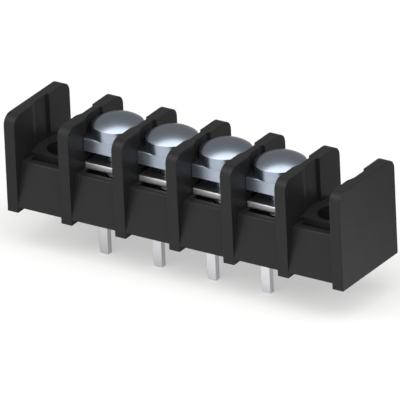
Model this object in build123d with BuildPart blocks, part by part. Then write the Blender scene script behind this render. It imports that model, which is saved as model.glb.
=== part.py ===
from build123d import *
import os

# Barrier terminal block for a circuit board, in millimetres.
# The origin is on the seating plane, at the middle of the length and of the depth.
# X runs along the row of bays, -Y is the front where the wires enter, and +Z is up.

# Housing
pitch = 9.525                    # from one bay to the next
poles = 4                        # bays that hold a terminal
barrier_thickness = 1.85
depth = 14.99
barrier_height = 15.55           # seating plane to the top of a barrier
barrier_corner_radius = 1.7
foot_height = 0.95               # seating plane to the underside of the decks
floor_height = 7.85              # seating plane to the floor under a terminal plate
ledge_drop = 0.1                 # floor to the ledge behind each sloped wall
ledge_edge_radius = 0.45
wall_lean = 1.87                 # how far a sloped wall leans in on its way up to its ledge
axis_offset = 0.2                # mid-depth to the axes of the screws, towards the back

# Recess in the barrier faces, which clears the head of the screw
recess_depth = 0.4
recess_front = -2.4              # where the ramp down to its floor starts
recess_ramp = 1.2                # length of that ramp
recess_back = 2.05               # step at its back end

# Groove behind the front ledge
groove_side_wall = 0.6           # left beside the barriers
groove_depth = 1.0               # below the ledge
groove_reach = 1.0               # in front of the terminal plates

# End bays, for the mounting screws
pad_rise = 0.6                   # floor under the terminals to the top of a mounting pad
mounting_hole_radius = 2.75

# Pockets moulded into the underside
pocket_wall = 1.3                # beside a sloped wall
pocket_side_wall = 1.0           # beside the barriers
pocket_deck = 1.2                # above a pocket
boss_wall = 1.0                  # round a hole or a well

# Terminal: plate, tapped collar, cranked leg and pin, stamped from one sheet
sheet_thickness = 1.0
plate_depth = 7.4
plate_side_clearance = 0.11      # to the barrier on each side
collar_wall = 0.35
collar_length = 1.2              # below the plate
tab_width = 1.5                  # strip that turns down from the front edge of the plate
relief_width = 0.3               # relief cut beside that strip
relief_depth = 1.2
crank_drop = 1.6                 # underside of the plate to the top of the crank
crank_height = 1.8
crank_corner_radius = 0.3
pin_width = 1.55
pin_offset = -1.08               # centre of the pin, from the middle of its bay
pin_length = 5.6                 # below the seating plane
pin_tip_width = 1.3
pin_tip_length = 1.9
leg_clearance = 0.1              # round the leg in its pocket

# Wire clamp
clamp_side_clearance = 0.06      # to the barrier on each side
clamp_depth = 7.4
clamp_height = 2.07              # over the turned-down lips
clamp_sheet = 1.0
clamp_fold_radius = 0.15
clamp_hole_clearance = 0.3       # round the shank
wire_gap = 1.83                  # plate to clamp, with the clamp open

# Clamp screw
shank_radius = 2.0
thread_clearance = 0.05          # round the shank in the tapped collar
shank_reach = 3.5                # floor to the tip of the shank, with the clamp open
shank_tip_chamfer = 0.4
head_clearance = 0.29            # to the floor of the recess on each side
head_side_height = 1.8           # clamp to the rim of the dome
dome_rise = 1.4

# Well under each terminal plate
well_clearance = 0.3             # round the shank and round the collar
well_end_clearance = 0.4         # below the tip of the shank, with the clamp closed

# Places in the housing
bays = poles + 2
bay_width = pitch - barrier_thickness
bay_centres = [(index - (bays - 1) / 2) * pitch for index in range(bays)]
barrier_centres = [(index - bays / 2) * pitch for index in range(bays + 1)]
pole_centres = bay_centres[1:-1]
mounting_centres = [bay_centres[0], bay_centres[-1]]
ledge_height = floor_height - ledge_drop
pad_height = floor_height + pad_rise

# Places of the terminals
plate_width = bay_width - 2 * plate_side_clearance
plate_front = axis_offset - plate_depth / 2
plate_back = axis_offset + plate_depth / 2
plate_top = floor_height + sheet_thickness
bore_radius = shank_radius + thread_clearance
collar_radius = bore_radius + collar_wall
groove_width = bay_width - 2 * groove_side_wall
groove_front = plate_front - groove_reach
groove_bottom = ledge_height - groove_depth
leg_front = plate_front - leg_clearance
leg_back = plate_front + sheet_thickness + leg_clearance
tab_right = groove_width / 2 - leg_clearance
tab_left = tab_right - tab_width
crank_top = floor_height - crank_drop
crank_bottom = crank_top - crank_height
pin_left = pin_offset - pin_width / 2
pin_right = pin_offset + pin_width / 2

# Places of the clamps and the screws
clamp_width = bay_width - 2 * clamp_side_clearance
clamp_bottom = plate_top + wire_gap
clamp_top = clamp_bottom + clamp_height
lip_height = clamp_height - clamp_sheet
head_radius = bay_width / 2 + recess_depth - head_clearance
head_rim = clamp_top + head_side_height
dome_top = head_rim + dome_rise
shank_tip = floor_height - shank_reach

# Places of the wells and the pockets
well_radius = shank_radius + well_clearance
well_mouth_radius = collar_radius + well_clearance
well_mouth_depth = collar_length + well_clearance
well_depth = shank_reach + wire_gap + well_end_clearance
pocket_top = groove_bottom - pocket_deck
pocket_width = bay_width - 2 * pocket_side_wall


def wall_face(height):
    """Distance from mid-depth to the outer face of a sloped wall, at this height."""
    return depth / 2 - wall_lean * (height - foot_height) / (ledge_height - foot_height)


def deck_section(centre, top):
    """Section across a deck: two sloped walls, two ledges and a floor between them."""
    with BuildSketch(Plane.YZ.offset(centre)) as section:
        with BuildLine():
            Polyline(
                (-wall_face(foot_height), foot_height),
                (wall_face(foot_height), foot_height),
                (wall_face(ledge_height), ledge_height),
                (plate_back, ledge_height),
                (plate_back, top),
                (plate_front, top),
                (plate_front, ledge_height),
                (-wall_face(ledge_height), ledge_height),
                close=True,
            )
        make_face()
        ledge_corners = section.vertices().group_by(Axis.Y)[1].sort_by(Axis.X)
        fillet([ledge_corners[0], ledge_corners[-1]], ledge_edge_radius)
    return section.sketch


def pocket_section(centre, start, side):
    """Section across a pocket in the underside, behind (side 1) or in front (side -1)."""
    with BuildSketch(Plane.YZ.offset(centre)) as section:
        with BuildLine():
            Polyline(
                (side * start, foot_height),
                (side * (wall_face(foot_height) - pocket_wall), foot_height),
                (side * (wall_face(pocket_top) - pocket_wall), pocket_top),
                (side * start, pocket_top),
                close=True,
            )
        make_face()
    return section.sketch


def slot(left, right, front, back, bottom, top):
    """The space that a straight slot takes out of the housing."""
    with BuildPart() as space:
        with BuildSketch(Plane.XY.offset(bottom)):
            with Locations(((left + right) / 2, (front + back) / 2)):
                Rectangle(right - left, back - front)
        extrude(amount=top - bottom)
    return space.part


# Housing: barriers, decks and pads in one moulding
with BuildPart() as housing:
    # Barriers, each standing on its own foot
    for centre in barrier_centres:
        with BuildSketch(Plane.YZ.offset(centre)) as barrier:
            with Locations((0, barrier_height / 2)):
                Rectangle(depth, barrier_height)
            fillet(barrier.vertices().group_by(Axis.Y)[-1], barrier_corner_radius)
        extrude(amount=barrier_thickness / 2, both=True)

    # Decks under the terminals, and higher ones under the mounting screws
    for centre in pole_centres:
        extrude(deck_section(centre, floor_height), amount=pitch / 2, both=True)
    for centre in mounting_centres:
        extrude(deck_section(centre, pad_height), amount=pitch / 2, both=True)

    # Recesses, which face each other across each bay, with a ramp in front and a step behind
    for centre in bay_centres:
        with BuildSketch(Plane((centre, 0, pad_height))):
            with BuildLine():
                Polyline(
                    (-bay_width / 2, recess_front),
                    (bay_width / 2, recess_front),
                    (bay_width / 2 + recess_depth, recess_front + recess_ramp),
                    (bay_width / 2 + recess_depth, recess_back),
                    (-bay_width / 2 - recess_depth, recess_back),
                    (-bay_width / 2 - recess_depth, recess_front + recess_ramp),
                    close=True,
                )
            make_face()
        extrude(amount=barrier_height - pad_height, mode=Mode.SUBTRACT)

    # Wells for the collars and the shanks, and the mounting holes
    with Locations(*[(centre, axis_offset, floor_height) for centre in pole_centres]):
        CounterBoreHole(well_radius, well_mouth_radius, well_mouth_depth, well_depth)
    with Locations(*[(centre, 0, pad_height) for centre in mounting_centres]):
        Hole(mounting_hole_radius, pad_height)

    # Groove, leg pocket and pin slot in front of each well
    for centre in pole_centres:
        left, right = centre - groove_width / 2, centre + groove_width / 2
        pocket_bottom = crank_bottom - leg_clearance
        pin_sides = (centre + pin_left - leg_clearance, centre + pin_right + leg_clearance)
        add(slot(left, right, groove_front, leg_back, groove_bottom, floor_height), mode=Mode.SUBTRACT)
        add(slot(left, right, leg_front, leg_back, pocket_bottom, groove_bottom), mode=Mode.SUBTRACT)
        add(slot(*pin_sides, leg_front, leg_back, 0, pocket_bottom), mode=Mode.SUBTRACT)

    # The same groove in front of each mounting pad
    for centre in mounting_centres:
        left, right = centre - groove_width / 2, centre + groove_width / 2
        add(slot(left, right, groove_front, plate_front, groove_bottom, ledge_height), mode=Mode.SUBTRACT)

    # Pockets in the underside that keep the walls thin
    for centre in pole_centres:
        behind_well = pocket_section(centre, axis_offset + well_radius + boss_wall, 1)
        extrude(behind_well, amount=pocket_width / 2, both=True, mode=Mode.SUBTRACT)
    for centre in mounting_centres:
        for side in (-1, 1):
            beside_hole = pocket_section(centre, mounting_hole_radius + boss_wall, side)
            extrude(beside_hole, amount=pocket_width / 2, both=True, mode=Mode.SUBTRACT)


def make_terminal(centre):
    """Terminal of one bay: a plate with a tapped collar, and a leg that ends in the pin."""
    with BuildPart() as terminal:
        # Plate, cut away on both sides of the strip that turns down
        with BuildSketch(Plane((centre, axis_offset, floor_height))):
            Rectangle(plate_width, plate_depth)
            with Locations((tab_left, -plate_depth / 2)):
                Rectangle(relief_width, relief_depth, align=(Align.MAX, Align.MIN), mode=Mode.SUBTRACT)
            with Locations((tab_right, -plate_depth / 2)):
                Rectangle(plate_width, relief_depth, align=(Align.MIN, Align.MIN), mode=Mode.SUBTRACT)
        extrude(amount=sheet_thickness)

        # Leg: strip, crank and pin, with the tip tapered on one side
        back_of_leg = (centre, plate_front + sheet_thickness, 0)
        with BuildSketch(Plane(back_of_leg, x_dir=(1, 0, 0), z_dir=(0, -1, 0))) as leg:
            with BuildLine():
                tip_left = pin_right - pin_tip_width
                tip_start = pin_tip_length - pin_length
                Polyline(
                    (pin_left, tip_start),
                    (pin_left, crank_top),
                    (tab_left, crank_top),
                    (tab_left, plate_top),
                    (tab_right, plate_top),
                    (tab_right, crank_bottom),
                    (pin_right, crank_bottom),
                    (pin_right, -pin_length),
                    (tip_left, -pin_length),
                )
                TangentArc((pin_left, tip_start), (tip_left, -pin_length), tangent=(0, -1))
            make_face()
            heights = leg.vertices().group_by(Axis.Y)
            fillet(heights[-3] + heights[-2], crank_corner_radius)
        extrude(amount=sheet_thickness)

        # Outside of the bend between the plate and the strip
        front_edges = terminal.edges().filter_by(Axis.X).group_by(Axis.Z)[-1].group_by(Axis.Y)[0]
        fillet(front_edges.sort_by(Axis.X)[-1], sheet_thickness)

        # Collar drawn down from the plate, with the tapped bore through both
        with BuildSketch(Plane((centre, axis_offset, floor_height))):
            Circle(collar_radius)
        extrude(amount=-collar_length)
        with Locations((centre, axis_offset, plate_top)):
            Hole(bore_radius, sheet_thickness + collar_length)
    return terminal.part


def make_clamp(centre):
    """Wire clamp of one bay: a square plate with its front and back edges turned down."""
    with BuildPart() as clamp:
        with BuildSketch(Plane.YZ.offset(centre)) as section:
            with Locations((axis_offset, clamp_bottom)):
                Rectangle(clamp_depth, clamp_height, align=(Align.CENTER, Align.MIN))
                Rectangle(
                    clamp_depth - 2 * clamp_sheet,
                    lip_height,
                    align=(Align.CENTER, Align.MIN),
                    mode=Mode.SUBTRACT,
                )
            fillet(section.vertices().group_by(Axis.Y)[-1], clamp_fold_radius)
        extrude(amount=clamp_width / 2, both=True)
        with Locations((centre, axis_offset, clamp_top)):
            Hole(shank_radius + clamp_hole_clearance, clamp_sheet)
    return clamp.part


def make_screw(centre):
    """Clamp screw of one bay: shank, and tall domed head that bears on the clamp."""
    with BuildPart() as screw:
        with BuildSketch(Plane((centre, axis_offset, 0), x_dir=(1, 0, 0), z_dir=(0, -1, 0))):
            with BuildLine():
                Polyline(
                    (0, dome_top),
                    (0, shank_tip),
                    (shank_radius - shank_tip_chamfer, shank_tip),
                    (shank_radius, shank_tip + shank_tip_chamfer),
                    (shank_radius, clamp_top),
                    (head_radius, clamp_top),
                    (head_radius, head_rim),
                )
                TangentArc((0, dome_top), (head_radius, head_rim), tangent=(1, 0))
            make_face()
        revolve(axis=Axis((centre, axis_offset, 0), (0, 0, 1)))
    return screw.part


# One STEP file for each piece
os.makedirs("parts", exist_ok=True)
housing.part.label = "housing"
export_step(housing.part, "parts/housing.step")
for number, centre in enumerate(pole_centres, start=1):
    terminal = make_terminal(centre)
    terminal.label = f"terminal_{number}"
    export_step(terminal, f"parts/{terminal.label}.step")
    clamp = make_clamp(centre)
    clamp.label = f"wire_clamp_{number}"
    export_step(clamp, f"parts/{clamp.label}.step")
    screw = make_screw(centre)
    screw.label = f"clamp_screw_{number}"
    export_step(screw, f"parts/{screw.label}.step")
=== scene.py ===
"""Barrier terminal block for a circuit board: finishes, screws, studio and camera.

The moulded housing, the terminals and the wire clamps keep the shapes of the frame and are dressed
with procedural materials. The clamp screws are modelled here with their real threads.
"""

import logging
import math
from dataclasses import dataclass
from enum import Enum

import bpy
from mathutils import Matrix, Vector

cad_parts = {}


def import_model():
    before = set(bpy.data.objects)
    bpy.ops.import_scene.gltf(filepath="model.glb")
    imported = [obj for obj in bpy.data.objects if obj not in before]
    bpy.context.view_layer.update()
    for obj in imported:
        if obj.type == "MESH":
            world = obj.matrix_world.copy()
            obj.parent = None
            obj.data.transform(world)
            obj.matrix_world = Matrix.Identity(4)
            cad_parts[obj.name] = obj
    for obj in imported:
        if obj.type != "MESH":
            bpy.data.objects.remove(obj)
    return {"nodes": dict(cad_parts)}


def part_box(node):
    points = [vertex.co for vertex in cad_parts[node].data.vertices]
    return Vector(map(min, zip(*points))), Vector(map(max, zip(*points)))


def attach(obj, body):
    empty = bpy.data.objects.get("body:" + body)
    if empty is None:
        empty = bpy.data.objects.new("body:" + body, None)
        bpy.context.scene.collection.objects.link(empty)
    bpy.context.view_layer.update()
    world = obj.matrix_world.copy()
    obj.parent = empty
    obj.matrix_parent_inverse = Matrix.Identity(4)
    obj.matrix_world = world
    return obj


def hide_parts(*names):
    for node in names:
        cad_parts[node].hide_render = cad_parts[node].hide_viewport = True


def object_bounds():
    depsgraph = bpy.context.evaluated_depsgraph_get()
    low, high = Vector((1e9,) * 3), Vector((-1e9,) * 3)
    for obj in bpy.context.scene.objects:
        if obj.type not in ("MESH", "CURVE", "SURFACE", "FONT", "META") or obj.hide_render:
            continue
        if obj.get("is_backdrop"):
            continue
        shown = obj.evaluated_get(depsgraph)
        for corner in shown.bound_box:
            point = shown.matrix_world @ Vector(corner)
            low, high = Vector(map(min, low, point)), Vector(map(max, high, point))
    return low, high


MM = 0.001
MERGE_DISTANCE = 0.0001 * MM
NOISE_RANGE = (0.3, 0.7)               # values that the noise pattern mostly keeps to
PLAIN_DETAIL = 2.0                     # octaves of a pattern without fine detail
CLOUD_DETAIL = 3.0                     # and of the clouds in a plated coat
BEVEL_SAMPLES = 8                      # rays that look for an edge to round
LEVEL_FROM = 0.9                       # upward share of a normal from which a face counts as level
LOG = logging.getLogger("terminal_block")


class Part(Enum):
    """Names of the kinds of CAD node, each followed by the number of its bay where it repeats."""

    HOUSING = "housing"
    TERMINAL = "terminal_{}"
    CLAMP = "wire_clamp_{}"
    SCREW = "clamp_screw_{}"


class Slot(Enum):
    """Name of a material slot for the pieces that are modelled here; the script gives no piece this
    slot.
    """

    SCREW = "screw"


def linear(hex_code: str) -> tuple[float, float, float, float]:
    """Turns an sRGB hex colour into the linear colour that the shaders work in.

    Args:
        hex_code: Colour as six hex digits, with or without a leading hash.

    Returns:
        Linear red, green and blue, and an alpha of one.
    """
    digits = hex_code.lstrip("#")
    parts = [int(digits[at : at + 2], 16) / 255 for at in (0, 2, 4)]
    red, green, blue = (c / 12.92 if c <= 0.04045 else ((c + 0.055) / 1.055) ** 2.4 for c in parts)
    return red, green, blue, 1.0


def add_node(tree: bpy.types.NodeTree, kind: str, settings: dict | None = None,
             links: dict | None = None) -> bpy.types.Node:
    """Adds a node with its settings and the links that lead into it.

    Args:
        tree: Node tree that gets the node.
        kind: Blender's name of the node type.
        settings: Values by name; the name of an input sets that socket, any other the node itself.
        links: Output sockets by the name or number of the input that each feeds.

    Returns:
        The new node.
    """
    node = tree.nodes.new(kind)
    for name, value in (settings or {}).items():
        if isinstance(name, int) or name in node.inputs:
            node.inputs[name].default_value = value
        else:
            setattr(node, name, value)
    for name, source in (links or {}).items():
        tree.links.new(source, node.inputs[name])
    return node


def new_material(name: str) -> tuple[bpy.types.Material, bpy.types.NodeTree]:
    """Makes an empty node material.

    Args:
        name: Name of the material.

    Returns:
        The material and its cleared node tree.
    """
    material = bpy.data.materials.new(name)
    material.use_nodes = True
    material.node_tree.nodes.clear()
    return material, material.node_tree


def noise(tree: bpy.types.NodeTree, grain: float, detail: float = PLAIN_DETAIL,
          stretch: tuple[float, float, float] = (1, 1, 1)) -> bpy.types.NodeSocket:
    """Adds a noise pattern whose blotches have a real size.

    Args:
        tree: Node tree that gets the pattern.
        grain: Size of one blotch, in metres.
        detail: Octaves of finer detail.
        stretch: How many times finer the pattern is along each axis.

    Returns:
        The factor output, from zero to one.
    """
    place = add_node(tree, "ShaderNodeTexCoord")
    mapping = add_node(tree, "ShaderNodeMapping", {"Scale": stretch},
                       {"Vector": place.outputs["Object"]})
    texture = add_node(tree, "ShaderNodeTexNoise", {"Scale": 1 / grain, "Detail": detail},
                       {"Vector": mapping.outputs["Vector"]})
    return texture.outputs["Fac"]


def spread(low: float, high: float, source: tuple[float, float] = NOISE_RANGE) -> dict[str, float]:
    """Settings of a Map Range node that spreads a pattern over a range.

    Args:
        low: Result at the low end.
        high: Result at the high end.
        source: Values of the pattern at the low and the high end.

    Returns:
        Values by the name of the node's input.
    """
    return {"From Min": source[0], "From Max": source[1], "To Min": low, "To Max": high}


def heading(azimuth: float) -> tuple[float, float, float]:
    """Level direction at an azimuth.

    Args:
        azimuth: Degrees from the front, towards the right end.

    Returns:
        The three parts of the unit vector.
    """
    turn = math.radians(azimuth)
    return math.sin(turn), -math.cos(turn), 0.0


def relief(tree: bpy.types.NodeTree, height: bpy.types.NodeSocket, rise: float,
           edge_radius: float, radius: bpy.types.NodeSocket | None = None) -> bpy.types.NodeSocket:
    """Adds surface relief over softly rounded edges.

    Args:
        tree: Node tree that gets the nodes.
        height: Pattern of the relief.
        rise: Height of the relief, in metres.
        edge_radius: Radius that the light sees on a sharp edge, in metres; zero for none.
        radius: Pattern of that radius, where it changes over the piece.

    Returns:
        The normal output.
    """
    links = {"Height": height}
    if edge_radius:
        rounded = add_node(tree, "ShaderNodeBevel",
                           {"samples": BEVEL_SAMPLES, "Radius": edge_radius},
                           {"Radius": radius} if radius else None)
        links["Normal"] = rounded.outputs["Normal"]
    bump = add_node(tree, "ShaderNodeBump", {"Strength": 1.0, "Distance": rise}, links)
    return bump.outputs["Normal"]


@dataclass(frozen=True)
class MouldedThermoplastic:
    """Black glass-filled polyester, injection moulded in a lightly etched tool.

    The etching gives a soft satin surface, and the resin flow leaves broad, faint changes of gloss.
    """

    colour: str = "#222223"
    flow_colour: str = "#252526"       # of the broad marks of the resin flow
    roughness: tuple[float, float] = (0.33, 0.41)
    ior: float = 1.5
    shine: float = 0.15                # of the surface; a polished plastic has 0.5
    flow_size: float = 2.5 * MM
    grain_size: float = 0.16 * MM      # the real etching, about 0.05 mm, is too fine to show
    grain_rise: float = 0.0022 * MM
    edge_radius: float = 0.12 * MM

    def material(self) -> bpy.types.Material:
        """Builds the node material of the moulding.

        Returns:
            The material.
        """
        material, tree = new_material("black moulded PBT")
        flow = noise(tree, self.flow_size)
        grain = noise(tree, self.grain_size)
        colour = add_node(
            tree, "ShaderNodeMix",
            {"data_type": "RGBA", 6: linear(self.colour), 7: linear(self.flow_colour)}, {0: flow})
        roughness = add_node(tree, "ShaderNodeMapRange", spread(*self.roughness), {"Value": flow})
        shader = add_node(
            tree, "ShaderNodeBsdfPrincipled", {"IOR": self.ior, "Specular IOR Level": self.shine},
            {"Base Color": colour.outputs[2], "Roughness": roughness.outputs["Result"],
             "Normal": relief(tree, grain, self.grain_rise, self.edge_radius)})
        add_node(tree, "ShaderNodeOutputMaterial", {}, {"Surface": shader.outputs["BSDF"]})
        return material


@dataclass(frozen=True)
class PlatedMetal:
    """Metal with a thin electroplated coat over a stamped or turned blank."""

    name: str
    colour: str
    tint: str                          # of the clouds in the coat
    roughness: tuple[float, float]
    cloud_size: float
    grain_size: float
    grain_rise: float
    grain_stretch: tuple[float, float, float] = (1, 1, 1)
    edge_radius: float = 0.08 * MM
    level_gloss: float = 0.0           # how much less rough the level faces are than sheared ones
    upper_edge_radius: float = 0.0     # of the edges from upper_from upwards; zero for no change
    upper_from: float = 0.0
    upper_blend: float = 0.5 * MM      # height over which one radius turns into the other

    def material(self) -> bpy.types.Material:
        """Builds the node material of the plated metal.

        Returns:
            The material.
        """
        material, tree = new_material(self.name)
        cloud = noise(tree, self.cloud_size, CLOUD_DETAIL)
        grain = noise(tree, self.grain_size, stretch=self.grain_stretch)
        colour = add_node(
            tree, "ShaderNodeMix",
            {"data_type": "RGBA", 6: linear(self.colour), 7: linear(self.tint)}, {0: cloud})
        place = add_node(tree, "ShaderNodeTexCoord")
        facing = add_node(tree, "ShaderNodeSeparateXYZ", {}, {"Vector": place.outputs["Normal"]})
        level = add_node(tree, "ShaderNodeMath", {"operation": "GREATER_THAN", 1: LEVEL_FROM},
                         {0: facing.outputs["Z"]})
        clouded = add_node(tree, "ShaderNodeMapRange", spread(*self.roughness), {"Value": cloud})
        roughness = add_node(
            tree, "ShaderNodeMath", {"operation": "MULTIPLY_ADD", 1: -self.level_gloss},
            {0: level.outputs[0], 2: clouded.outputs["Result"]})
        radius = None
        if self.upper_edge_radius:
            spot = add_node(tree, "ShaderNodeSeparateXYZ", {}, {"Vector": place.outputs["Object"]})
            heights = (self.upper_from - self.upper_blend, self.upper_from)
            radius = add_node(
                tree, "ShaderNodeMapRange",
                spread(self.edge_radius, self.upper_edge_radius, heights),
                {"Value": spot.outputs["Z"]}).outputs["Result"]
        shader = add_node(
            tree, "ShaderNodeBsdfPrincipled", {"Metallic": 1.0},
            {"Base Color": colour.outputs[2], "Roughness": roughness.outputs[0],
             "Normal": relief(tree, grain, self.grain_rise, self.edge_radius, radius)})
        add_node(tree, "ShaderNodeOutputMaterial", {}, {"Surface": shader.outputs["BSDF"]})
        return material


# Tin over brass: a bright, slightly milky silver, smoother on the rolled faces than on cut edges
TINNED_BRASS = PlatedMetal(
    "tin-plated brass", "#e0e1e4", "#d8d9dc", roughness=(0.44, 0.5), cloud_size=1.2 * MM,
    grain_size=0.12 * MM, grain_rise=0.0001 * MM, edge_radius=0.1 * MM, level_gloss=0.12,
    upper_edge_radius=0.35 * MM, upper_from=7.8 * MM)

# Clear blue zinc over rolled steel: a cool silver, with the drag lines of the sheet
ZINC_SHEET = PlatedMetal(
    "zinc-plated sheet steel", "#a8b2c0", "#9fa8b6", roughness=(0.27, 0.35), cloud_size=1.5 * MM,
    grain_size=0.1 * MM, grain_rise=0.0003 * MM, grain_stretch=(0.2, 1, 1))

# Clear blue zinc over a headed steel screw: a darker blue silver, smoother than the sheet
ZINC_SCREW = PlatedMetal(
    "zinc-plated screw steel", "#a0aab8", "#97a0ad", roughness=(0.27, 0.31), cloud_size=1.8 * MM,
    grain_size=0.14 * MM, grain_rise=0.0002 * MM, edge_radius=0.0)


def dress(piece: bpy.types.Object, material: bpy.types.Material) -> None:
    """Gives every face of a piece one material.

    Args:
        piece: Mesh object to dress.
        material: Its only material.
    """
    piece.data.materials.clear()
    piece.data.materials.append(material)


def start_piece() -> None:
    """Leaves edit mode and deselects everything, so that the next operator acts on new work."""
    if bpy.context.object and bpy.context.object.mode != "OBJECT":
        bpy.ops.object.mode_set(mode="OBJECT")
    bpy.ops.object.select_all(action="DESELECT")


@dataclass
class Housing:
    """The black moulding that carries everything else."""

    finish: MouldedThermoplastic = MouldedThermoplastic()

    def dress(self, nodes: dict[str, bpy.types.Object]) -> None:
        """Gives the moulding its finish.

        Args:
            nodes: CAD nodes by name.
        """
        dress(nodes[Part.HOUSING.value], self.finish.material())
        LOG.info("housing dressed as moulded plastic")


@dataclass
class StampedMetal:
    """The stamped pieces of every bay: terminals and wire clamps."""

    part: Part
    finish: PlatedMetal

    def dress(self, nodes: dict[str, bpy.types.Object], bays: range) -> None:
        """Gives each copy its finish.

        Args:
            nodes: CAD nodes by name.
            bays: Numbers of the bays that hold a copy.
        """
        material = self.finish.material()
        for bay in bays:
            dress(nodes[self.part.value.format(bay)], material)
        LOG.info("%d pieces dressed as %s", len(bays), self.finish.name)


@dataclass
class ClampScrew:
    """A screw with a tall, smooth domed head, a plain shank and a rolled thread below it.

    The heights are read from the screw's own CAD node; the fields hold what the node doesn't say.
    """

    finish: PlatedMetal = ZINC_SCREW
    side_height: float = 1.8 * MM      # of the head, from the clamp up to the rim of its dome
    seat_gap: float = 0.01 * MM        # between head and clamp, so that they share no plane
    dome_rise: float = 1.4 * MM
    rim_rounding: float = 0.03 * MM
    shank_radius: float = 2.0 * MM
    thread_pitch: float = 0.7 * MM
    thread_depth: float = 0.35 * MM
    thread_sunk: float = 0.1 * MM      # how far the ridge starts inside the core
    crest_share: float = 0.16          # width of the ridge at its crest, as a share of the pitch
    root_share: float = 0.98           # and at its root
    thread_steps: int = 36             # round one turn
    runout: float = 0.3 * MM           # plain core between the thread and the shank
    tip_chamfer: float = 0.4 * MM
    facets: int = 96
    dome_rings: int = 10
    rim_rings: tuple[float, float] = (0.004, 0.03)    # as shares of the way from rim to top
    smooth_below: float = 32.0         # degrees between faces that are shaded as one

    def stations(self, low: float, plain: float, high: float,
                 head_radius: float) -> list[tuple[float, float]]:
        """Radii and heights of the turned body, from the tip of the thread to the top of the dome.

        Args:
            low: Height of the tip.
            plain: Height where the plain shank starts.
            high: Height of the top of the dome.
            head_radius: Radius of the head.

        Returns:
            Pairs of radius and height, from the bottom up.
        """
        core = self.shank_radius - self.thread_depth
        rim = high - self.dome_rise
        seat = rim - self.side_height + self.seat_gap
        rounding = self.rim_rounding
        body = [
            (core - self.tip_chamfer / 2, low),
            (core, low + self.tip_chamfer / 2),
            (core, plain - rounding),
            (self.shank_radius - rounding, plain),
            (self.shank_radius, plain + rounding),
            (self.shank_radius, seat - rounding),
            (self.shank_radius + rounding, seat),
            (head_radius - rounding, seat),
            (head_radius, seat + rounding),
            (head_radius, rim - rounding),
        ]
        curve = (head_radius**2 + self.dome_rise**2) / (2 * self.dome_rise)
        sweep = math.asin(head_radius / curve)
        even = [(ring + 0.5) / self.dome_rings for ring in range(self.dome_rings)]
        for share in (*self.rim_rings, *even):
            angle = sweep * (1 - share)
            body.append((curve * math.sin(angle), high - curve * (1 - math.cos(angle))))
        return body

    def turn_body(self, centre: Vector, rings: list[tuple[float, float]]) -> bpy.types.Object:
        """Makes the body of the screw by drawing one ring of edges up from the tip.

        Args:
            centre: Point on the axis.
            rings: Pairs of radius and height, from the tip up.

        Returns:
            The body, in object mode.
        """
        radius, height = rings[0]
        start_piece()
        bpy.ops.mesh.primitive_circle_add(vertices=self.facets, radius=radius, fill_type="NGON",
                                          location=(centre.x, centre.y, height))
        bpy.ops.object.mode_set(mode="EDIT")
        for next_radius, next_height in rings[1:]:
            bpy.ops.mesh.extrude_region()
            bpy.ops.transform.translate(value=(0, 0, next_height - height))
            bpy.ops.transform.resize(value=(next_radius / radius, next_radius / radius, 1),
                                     center_override=(centre.x, centre.y, next_height))
            radius, height = next_radius, next_height
        bpy.ops.mesh.select_all(action="SELECT")
        bpy.ops.mesh.normals_make_consistent(inside=False)
        bpy.ops.object.mode_set(mode="OBJECT")
        return bpy.context.object

    def roll_thread(self, centre: Vector, low: float, top: float) -> bpy.types.Object:
        """Makes the ridge of the thread as one tooth swept up a helix.

        Args:
            centre: Point on the axis.
            low: Height where the ridge starts.
            top: Height where it ends.

        Returns:
            The ridge, in object mode.
        """
        core = self.shank_radius - self.thread_depth
        start_piece()
        bpy.ops.mesh.primitive_plane_add(size=1, location=(centre.x, centre.y, low))
        ridge = bpy.context.object
        half = self.thread_pitch / 2
        for corner in ridge.data.vertices:
            outside = corner.co.x > 0
            reach = self.shank_radius if outside else core - self.thread_sunk
            width = half * (self.crest_share if outside else self.root_share)
            corner.co = (reach, 0, math.copysign(width, corner.co.y))
        sweep = ridge.modifiers.new("sweep", "SCREW")
        sweep.axis = "Z"
        sweep.angle = 2 * math.pi
        sweep.screw_offset = self.thread_pitch
        sweep.iterations = int((top - low) / self.thread_pitch)
        sweep.steps = sweep.render_steps = self.thread_steps
        bpy.ops.object.modifier_apply(modifier=sweep.name)
        bpy.ops.object.mode_set(mode="EDIT")
        bpy.ops.mesh.select_all(action="SELECT")
        bpy.ops.mesh.remove_doubles(threshold=MERGE_DISTANCE)
        bpy.ops.mesh.select_all(action="DESELECT")
        bpy.ops.mesh.select_mode(type="EDGE")
        bpy.ops.mesh.select_non_manifold()
        bpy.ops.mesh.edge_face_add()
        bpy.ops.mesh.select_all(action="SELECT")
        bpy.ops.mesh.normals_make_consistent(inside=False)
        bpy.ops.object.mode_set(mode="OBJECT")
        return ridge

    def build(self, bay: int, material: bpy.types.Material) -> None:
        """Builds the screw of one bay in the place of its CAD node.

        Args:
            bay: Number of the bay.
            material: Finish of the screw.
        """
        node = Part.SCREW.value.format(bay)
        low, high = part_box(node)
        centre = (low + high) / 2
        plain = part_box(Part.TERMINAL.value.format(bay))[1].z
        body = self.turn_body(centre, self.stations(low.z, plain, high.z, (high.x - low.x) / 2))
        thread = self.roll_thread(centre, low.z + self.tip_chamfer, plain - self.runout)
        start_piece()
        thread.select_set(True)
        body.select_set(True)
        bpy.context.view_layer.objects.active = body
        bpy.ops.object.join()
        bpy.ops.object.transform_apply(location=True, rotation=True, scale=True)
        bpy.ops.object.shade_smooth_by_angle(angle=math.radians(self.smooth_below))
        body.name = f"threaded_screw_{bay}"
        dress(body, material)
        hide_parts(node)
        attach(body, f"screw_{bay}")
        LOG.info("%s: %d faces", body.name, len(body.data.polygons))


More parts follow.
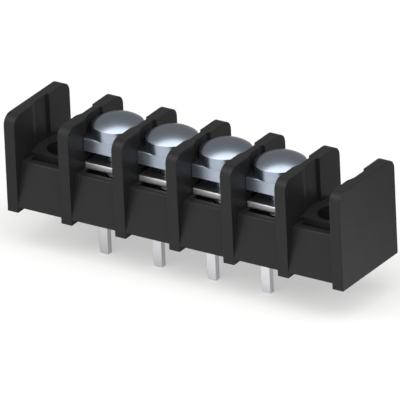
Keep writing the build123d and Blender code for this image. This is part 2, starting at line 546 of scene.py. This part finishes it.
@dataclass
class Studio:
    """White table, soft overhead light and the camera of the photograph."""

    azimuth: float = 34.02             # degrees from the front, towards the right end
    elevation: float = 25.37
    roll: float = -2.605
    frame_width: float = 59.13 * MM    # what the picture takes in from side to side
    lens: float = 1500.0               # long enough to keep parallel edges parallel
    sensor: float = 36.0
    aim_right: float = -0.31 * MM      # aim point, from the origin across the picture
    aim_up: float = 4.65 * MM          # and up the picture
    clip: tuple[float, float] = (0.1, 3.0)    # depths the camera sees, in shares of its distance
    table_size: float = 3.0
    table_colour: str = "#c0c0c0"      # its grey for the light that it throws back on the block
    exposed_colour: str = "#b3b3b3"    # the table as the camera's exposure shows it
    exposed_glow: float = 0.455        # how far that exposure lifts its shadows
    mirrored_azimuth: float = 28.0     # degrees from the front, to the brightest side of the table's painted reflection
    mirrored_behind: float = 0.13      # painted reflection: grey of the table that is mirrored from behind the block
    mirrored_in_front: float = 0.64    # and from in front of it
    mirrored_blend: float = 10 * MM    # distance from the origin at which each grey is reached
    mirrored_glow: float = 0.33        # painted glow that lifts the shadows in the mirrored table
    softbox_width: float = 1.4
    softbox_depth: float = 0.54
    softbox_height: float = 0.5
    softbox_lead: float = 0.2          # how far it hangs towards the camera
    softbox_watts: float = 5.7
    backdrop_colour: str = "#ffffff"   # what the camera sees beyond the table
    room_colour: str = "#fffdf9"
    room_azimuth: float = -10.0        # degrees from the front, to the room's brightest side
    room_behind: float = 0.29          # glow of the room behind the block
    room_in_front: float = 1.2         # and in front of it
    room_blend: tuple[float, float] = (0.1, 0.7)    # shares ahead at which each is reached

    def camera_axes(self) -> tuple[Vector, Vector, Vector]:
        """Directions of the picture, turned by the roll of the camera.

        Returns:
            Unit vectors to the right of the picture, up it and back towards the camera.
        """
        turn, tilt, roll = (math.radians(v) for v in (self.azimuth, self.elevation, self.roll))
        back = Vector((math.sin(turn) * math.cos(tilt), -math.cos(turn) * math.cos(tilt),
                       math.sin(tilt)))
        level = Vector((math.cos(turn), math.sin(turn), 0))
        upright = back.cross(level)
        right = level * math.cos(roll) + upright * math.sin(roll)
        return right, back.cross(right), back

    def place_camera(self) -> None:
        """Puts the camera far back, where the photograph was taken from."""
        right, up, back = self.camera_axes()
        distance = self.lens * self.frame_width / self.sensor
        data = bpy.data.cameras.new("camera")
        data.lens, data.sensor_width = self.lens, self.sensor
        data.clip_start, data.clip_end = (distance * share for share in self.clip)
        camera = bpy.data.objects.new("camera", data)
        bpy.context.scene.collection.objects.link(camera)
        aim = right * self.aim_right + up * self.aim_up
        turned = Matrix((right, up, back)).transposed().to_4x4()
        camera.matrix_world = Matrix.Translation(aim + back * distance) @ turned
        bpy.context.scene.camera = camera

    def ahead(self, tree: bpy.types.NodeTree, space: str, azimuth: float) -> bpy.types.NodeSocket:
        """Adds a measure of how far ahead a point lies.

        Args:
            tree: Node tree that gets the nodes.
            space: Name of the coordinates to measure in.
            azimuth: Degrees from the front, towards the right end, to the way that is ahead.

        Returns:
            The distance ahead, negative behind.
        """
        place = add_node(tree, "ShaderNodeTexCoord")
        dot = add_node(tree, "ShaderNodeVectorMath",
                       {"operation": "DOT_PRODUCT", 1: heading(azimuth)}, {0: place.outputs[space]})
        return dot.outputs["Value"]

    def lay_table(self, height: float) -> None:
        """Lays the pale table that the pins stand on.

        The camera, mirroring surfaces and the light on the block each see it in a grey of their
        own, as in a photograph whose background was exposed apart from the object. Mirroring
        surfaces see a painted reflection of it, darker behind the block than in front of it.

        Args:
            height: Height of its top.
        """
        start_piece()
        bpy.ops.mesh.primitive_plane_add(size=self.table_size, location=(0, 0, height))
        table = bpy.context.object
        table.name = "table"
        material, tree = new_material("white matt table")
        seen = add_node(tree, "ShaderNodeLightPath")
        # painted reflection: the table in mirroring surfaces goes from a dark grey behind the block
        # to a light one in front
        blend = (-self.mirrored_blend, self.mirrored_blend)
        grey = add_node(tree, "ShaderNodeMapRange",
                        spread(self.mirrored_behind, self.mirrored_in_front, blend),
                        {"Value": self.ahead(tree, "Object", self.mirrored_azimuth)})
        plain = add_node(
            tree, "ShaderNodeMix", {"data_type": "RGBA", 6: linear(self.table_colour)},
            {0: seen.outputs["Is Glossy Ray"], 7: grey.outputs["Result"]})
        colour = add_node(
            tree, "ShaderNodeMix", {"data_type": "RGBA", 7: linear(self.exposed_colour)},
            {0: seen.outputs["Is Camera Ray"], 6: plain.outputs[2]})
        paper = add_node(tree, "ShaderNodeBsdfDiffuse", {}, {"Color": colour.outputs[2]})
        # painted glow, seen only in reflections, that lifts the shadows of the mirrored table
        mirrored = add_node(
            tree, "ShaderNodeMath", {"operation": "MULTIPLY", 1: self.mirrored_glow},
            {0: seen.outputs["Is Glossy Ray"]})
        glow = add_node(
            tree, "ShaderNodeMath", {"operation": "MULTIPLY_ADD", 1: self.exposed_glow},
            {0: seen.outputs["Is Camera Ray"], 2: mirrored.outputs[0]})
        lift = add_node(tree, "ShaderNodeEmission", {}, {"Strength": glow.outputs[0]})
        both = add_node(tree, "ShaderNodeAddShader", {}, {0: paper.outputs[0], 1: lift.outputs[0]})
        add_node(tree, "ShaderNodeOutputMaterial", {}, {"Surface": both.outputs[0]})
        dress(table, material)
        table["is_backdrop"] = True

    def hang_softbox(self) -> None:
        """Hangs one large softbox over the table, square to the camera."""
        data = bpy.data.lights.new("softbox", "AREA")
        data.shape, data.energy = "RECTANGLE", self.softbox_watts
        data.size, data.size_y = self.softbox_width, self.softbox_depth
        softbox = bpy.data.objects.new("softbox", data)
        x, y, _ = heading(self.azimuth)
        softbox.location = (x * self.softbox_lead, y * self.softbox_lead, self.softbox_height)
        softbox.rotation_euler.z = math.radians(self.azimuth)
        bpy.context.scene.collection.objects.link(softbox)

    def light_room(self) -> None:
        """Gives the room a pale glow that grows towards the front, and the camera a plain white."""
        world = bpy.data.worlds.new("room")
        bpy.context.scene.world = world
        world.use_nodes = True
        tree = world.node_tree
        tree.nodes.clear()
        level = add_node(tree, "ShaderNodeMapRange",
                         spread(self.room_behind, self.room_in_front, self.room_blend),
                         {"Value": self.ahead(tree, "Generated", self.room_azimuth)})
        room = add_node(tree, "ShaderNodeBackground", {"Color": linear(self.room_colour)},
                        {"Strength": level.outputs["Result"]})
        white = add_node(tree, "ShaderNodeBackground", {"Color": linear(self.backdrop_colour)})
        seen = add_node(tree, "ShaderNodeLightPath")
        mixed = add_node(
            tree, "ShaderNodeMixShader", {},
            {0: seen.outputs["Is Camera Ray"], 1: room.outputs[0], 2: white.outputs[0]})
        add_node(tree, "ShaderNodeOutputWorld", {}, {"Surface": mixed.outputs[0]})

    def build(self, table_height: float) -> None:
        """Sets up the whole studio.

        Args:
            table_height: Height of the table's top.
        """
        self.place_camera()
        self.lay_table(table_height)
        self.hang_softbox()
        self.light_room()
        bpy.context.scene.view_settings.view_transform = "Standard"
        LOG.info("studio set up over a table at %.2f mm", table_height / MM)


def corners() -> list[list[float]]:
    """Measures what shows.

    Returns:
        Its lowest and its highest corner, as plain lists that JSON can hold.
    """
    return [list(corner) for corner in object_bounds()]


def main(frame: dict) -> None:
    """Dresses the frame, builds the screws and the studio, and sets the table at the frame's lowest
    point.
    """
    logging.basicConfig(level=logging.INFO, format="%(name)s: %(message)s")
    cad_box = corners()
    nodes = frame["nodes"]
    prefix = Part.TERMINAL.value.format("")
    bays = range(1, 1 + sum(name.startswith(prefix) for name in nodes))
    Housing().dress(nodes)
    StampedMetal(Part.TERMINAL, TINNED_BRASS).dress(nodes, bays)
    StampedMetal(Part.CLAMP, ZINC_SHEET).dress(nodes, bays)
    screw = ClampScrew()
    screw_finish = screw.finish.material()
    for bay in bays:
        screw.build(bay, screw_finish)
    Studio().build(cad_box[0][2])


if __name__ == "__main__":
    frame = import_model()
    main(frame)
